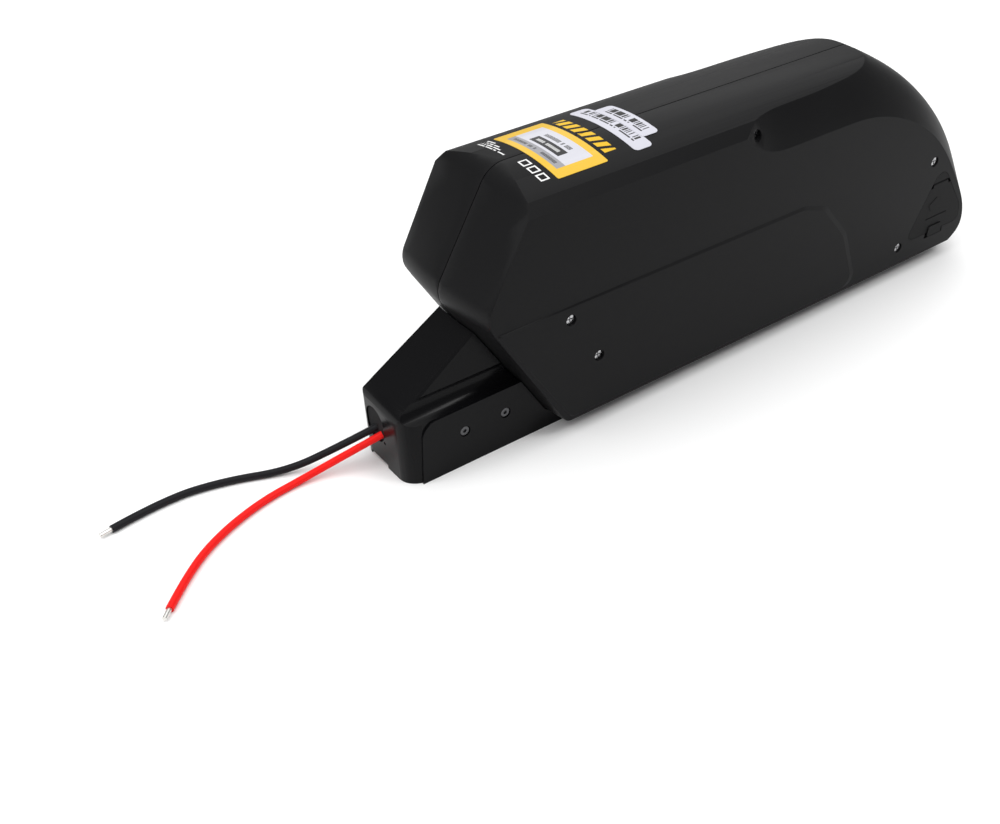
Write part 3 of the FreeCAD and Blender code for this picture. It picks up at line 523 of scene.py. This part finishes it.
def lead_curve(name, route, diameter):
    """Smooth round lead through its route."""
    data = bpy.data.curves.new(name, "CURVE")
    data.dimensions = "3D"
    data.bevel_depth = diameter / 2
    data.bevel_resolution = 6
    data.resolution_u = 16
    data.use_fill_caps = True
    spline = data.splines.new("NURBS")
    spline.points.add(len(route) - 1)
    for point, place in zip(spline.points, route):
        point.co = (*place, 1.0)
    spline.order_u = 3
    spline.use_endpoint_u = True
    piece = bpy.data.objects.new(name, data)
    bpy.context.scene.collection.objects.link(piece)
    return piece


class BATTERY_OT_leads(bpy.types.Operator):
    """Black and red silicone leads that lie on the floor"""

    bl_idname = "battery.leads"
    bl_label = "Leads"

    def execute(self, context):
        look = context.scene.lead_look
        for name, route, color, length in (
                ("black", BLACK_ROUTE, look.black, 0.162), ("red", RED_ROUTE, look.red, 0.171)):
            flex = lead_curve("flex_" + name, route, look.diameter)
            skin = Finish("lead_" + name, color, 0.38)
            flex.data.materials.append(skin.material)
            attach(flex, "base")
            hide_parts("lead_" + name)
        wear(("inner_leads",), skin)    # the red lead's, made last
        return {"FINISHED"}


# ---- studio ----------------------------------------------------------------------------------
FLOOR_REACH = 6.0               # metres from the middle to each side
LIGHT_AIM = (0.0, 0.0, 0.06)
LIGHTS = (                      # name, place, width and height in metres, watts
    ("top", (0.0, 0.0, 2.4), (4.0, 4.0), 75.0),
    ("end", (-1.6, 0.2, 1.1), (1.2, 1.2), 12.0),
    ("shoulder", (0.5, -0.95, 1.35), (0.4, 0.4), 5.0),
    ("back", (1.3, 1.6, 1.2), (2.4, 1.2), 9.0))
WORLD_STRENGTH = 0.35
CAMERA_PLACE = (-0.4895, -0.5216, 0.4745)
CAMERA_DOWN = 38.44             # degrees below the horizon
CAMERA_TURN = -38.31            # degrees about Z from looking along +Y
LENS_LENGTH = 44.93             # millimetres, on a sensor 36 mm wide
SENSOR_WIDTH = 36.0
LENS_SHIFT = (-0.0973, 0.0207)


def area_light(name, place, size, energy):
    """Soft rectangular light turned to the pack."""
    data = bpy.data.lights.new(name, "AREA")
    data.shape = "RECTANGLE"
    data.size = size[0]
    data.size_y = size[1]
    data.energy = energy
    lamp = bpy.data.objects.new(name, data)
    lamp.location = place
    gap = [b - a for a, b in zip(place, LIGHT_AIM)]
    flat = math.hypot(gap[0], gap[1])
    lamp.rotation_euler = (math.atan2(flat, -gap[2]), 0.0, math.atan2(-gap[0], gap[1]))
    bpy.context.scene.collection.objects.link(lamp)


class BATTERY_OT_stage(bpy.types.Operator):
    """Pale floor, soft studio light and camera"""

    bl_idname = "battery.stage"
    bl_label = "Studio"

    def execute(self, context):
        self.floor(context.scene)
        for light in LIGHTS:
            area_light(*light)
        self.world(context.scene)
        self.camera(context.scene)
        return {"FINISHED"}

    def floor(self, scene):
        """Plain square floor."""
        reach = FLOOR_REACH
        corners = [(-reach, -reach, 0.0), (reach, -reach, 0.0), (reach, reach, 0.0), (-reach, reach, 0.0)]
        data = bpy.data.meshes.new("floor")
        data.from_pydata(corners, [], [(0, 1, 2, 3)])
        floor = bpy.data.objects.new("floor", data)
        scene.collection.objects.link(floor)
        data.materials.append(Finish("floor_pale", scene.stage_look.floor_color, 0.9).material)

    def world(self, scene):
        """Even white surroundings."""
        world = scene.world or bpy.data.worlds.new("studio")
        scene.world = world
        world.use_nodes = True
        background = world.node_tree.nodes["Background"]
        background.inputs["Color"].default_value = (1.0, 1.0, 1.0, 1.0)
        background.inputs["Strength"].default_value = WORLD_STRENGTH
        scene.view_settings.view_transform = "Standard"

    def camera(self, scene):
        """Camera above the leads' end of the pack."""
        lens = bpy.data.cameras.new("view")
        lens.sensor_width = SENSOR_WIDTH
        lens.lens = LENS_LENGTH
        lens.shift_x, lens.shift_y = LENS_SHIFT
        lens.clip_start = 0.01
        camera = bpy.data.objects.new("view", lens)
        camera.location = CAMERA_PLACE
        camera.rotation_euler = (math.radians(90.0 - CAMERA_DOWN), 0.0, math.radians(CAMERA_TURN))
        scene.collection.objects.link(camera)
        scene.camera = camera


# ---- panel and start -------------------------------------------------------------------------
class BATTERY_PT_panel(bpy.types.Panel):
    """Lists the pieces and their settings."""

    bl_idname = "BATTERY_PT_panel"
    bl_label = "Battery pack"
    bl_space_type = "VIEW_3D"
    bl_region_type = "UI"
    bl_category = "Battery"

    def draw(self, context):
        for operator in OPERATORS:
            self.layout.operator(operator.bl_idname)
        for group in (context.scene.pack_look, context.scene.lead_look, context.scene.stage_look):
            for name in group.__annotations__:
                self.layout.prop(group, name)


OPERATORS = (BATTERY_OT_shells, BATTERY_OT_labels, BATTERY_OT_base, BATTERY_OT_hardware,
             BATTERY_OT_inside, BATTERY_OT_leads, BATTERY_OT_stage)
GROUPS = (("pack_look", PackLook), ("lead_look", LeadLook), ("stage_look", StageLook))


def register():
    """Adds the settings, the operators and the panel."""
    for name, group in GROUPS:
        bpy.utils.register_class(group)
        setattr(bpy.types.Scene, name, bpy.props.PointerProperty(type=group))
    for operator in OPERATORS:
        bpy.utils.register_class(operator)
    bpy.utils.register_class(BATTERY_PT_panel)


def unregister():
    """Takes out what register adds."""
    bpy.utils.unregister_class(BATTERY_PT_panel)
    for operator in reversed(OPERATORS):
        bpy.utils.unregister_class(operator)
    for name, group in reversed(GROUPS):
        delattr(bpy.types.Scene, name)
        bpy.utils.unregister_class(group)


def main():
    """Builds every piece in order."""
    register()
    for operator in OPERATORS:
        group, name = operator.bl_idname.split(".")
        getattr(getattr(bpy.ops, group), name)()


if __name__ == "__main__":
    main()
